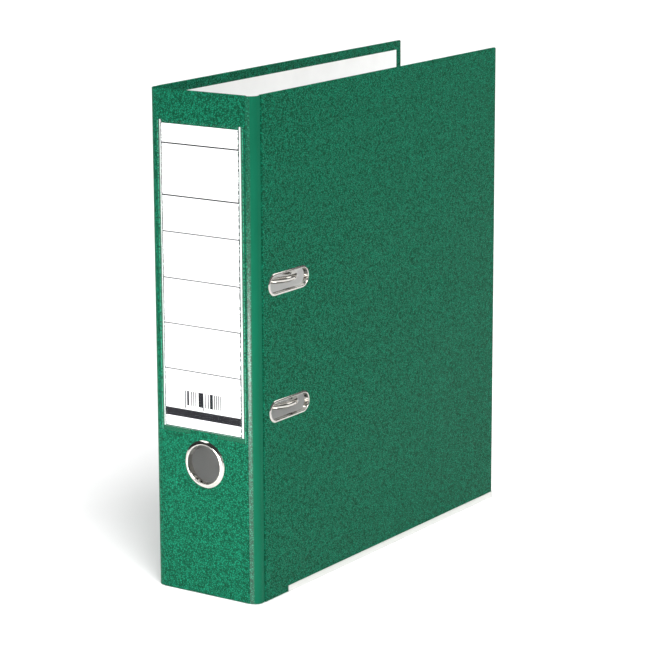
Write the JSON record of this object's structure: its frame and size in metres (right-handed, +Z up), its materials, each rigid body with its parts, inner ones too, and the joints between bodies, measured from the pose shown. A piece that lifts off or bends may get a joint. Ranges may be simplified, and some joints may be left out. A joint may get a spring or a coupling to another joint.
{
  "type": "lever arch file",
  "caption": "Upright lever arch file: board case in grained foil with spine label pocket, finger ring and slotted cover over a lever-operated arch mechanism.",
  "frame": {"origin": "centre of the footprint, on the surface that the file stands on", "axes": "+Z up along the spine, -X out of the spine's label side, -Y out of the slotted front cover"},
  "size_m": [0.285, 0.08, 0.318],
  "materials": {
    "board": "grey board",
    "foil": "fine leather grain, satin",
    "lining": "plain paper",
    "rail_steel": "bright",
    "nickel": "nickel plated, polished",
    "mechanism_steel": "nickel plated, polished",
    "roller_steel": "turned steel",
    "grip_plastic": "black, moulded",
    "pocket_film": "clear, glossy",
    "label_card": "printed lines"
  },
  "bodies": {
    "rear_cover": {"rear_board": "board", "rear_film": "foil", "rear_lining": "lining", "rear_edge_rail": "rail_steel", "base_plate": "mechanism_steel", "fixed_post_lower": "mechanism_steel", "fixed_post_upper": "mechanism_steel", "lever_pin": "mechanism_steel", "plate_rivets": "mechanism_steel"},
    "spine": {"spine_board": "board", "spine_film": "foil", "spine_lining": "lining", "front_hinge_strip": "foil", "rear_hinge_strip": "foil", "label_pocket": "pocket_film", "finger_ring": "nickel", "finger_ring_back": "nickel"},
    "front_cover": {"front_board": "board", "front_film": "foil", "front_lining": "lining", "front_edge_rail": "rail_steel", "slot_eyelet_lower": "nickel", "slot_eyelet_upper": "nickel", "slot_backing_lower": "nickel", "slot_backing_upper": "nickel"},
    "arch": {"arch_wire": "mechanism_steel"},
    "lever": {"lever": "mechanism_steel", "roller_pin": "mechanism_steel"},
    "roller": {"roller": "roller_steel"},
    "compressor": {"compressor_bar": "mechanism_steel", "compressor_grips": "grip_plastic"},
    "label": {"spine_label": "label_card"}
  },
  "joints": [
    {"name": "rear_hinge", "type": "hinge", "parent": "rear_cover", "child": "spine", "pos_m": [-0.1402, 0.0383, 0], "axis": [0, 0, -1], "range_deg": [0, 90], "deforming": ["rear_hinge_strip"]},
    {"name": "front_hinge", "type": "hinge", "parent": "spine", "child": "front_cover", "pos_m": [-0.1402, -0.0383, 0], "axis": [0, 0, -1], "range_deg": [0, 180], "deforming": ["front_hinge_strip"]},
    {"name": "lever_pivot", "type": "hinge", "parent": "rear_cover", "child": "lever", "pos_m": [-0.0926, 0.02682, 0.16], "axis": [0, 0, 1], "range_deg": [0, 57]},
    {"name": "arch_pivot", "type": "hinge", "parent": "rear_cover", "child": "arch", "pos_m": [-0.1095, 0.0332, 0.16], "axis": [0, 0, 1], "range_deg": [-18.25, 0]},
    {"name": "roller_spin", "type": "hinge", "parent": "lever", "child": "roller", "pos_m": [-0.0975, 0.0278, 0.16], "axis": [0, 0, 1], "range_deg": [-90, 0]},
    {"name": "compressor_slide", "type": "slide", "parent": "rear_cover", "child": "compressor", "axis": [0, -1, 0], "range_m": [0, 0.034]},
    {"name": "label_slide", "type": "slide", "parent": "spine", "child": "label", "axis": [0, 0, 1], "range_m": [0, 0.2]}
  ],
  "couplings": [
    {"joint": "arch_pivot", "follows": "lever_pivot", "ratio": -0.32},
    {"joint": "roller_spin", "follows": "lever_pivot", "ratio": -1.5}
  ]
}
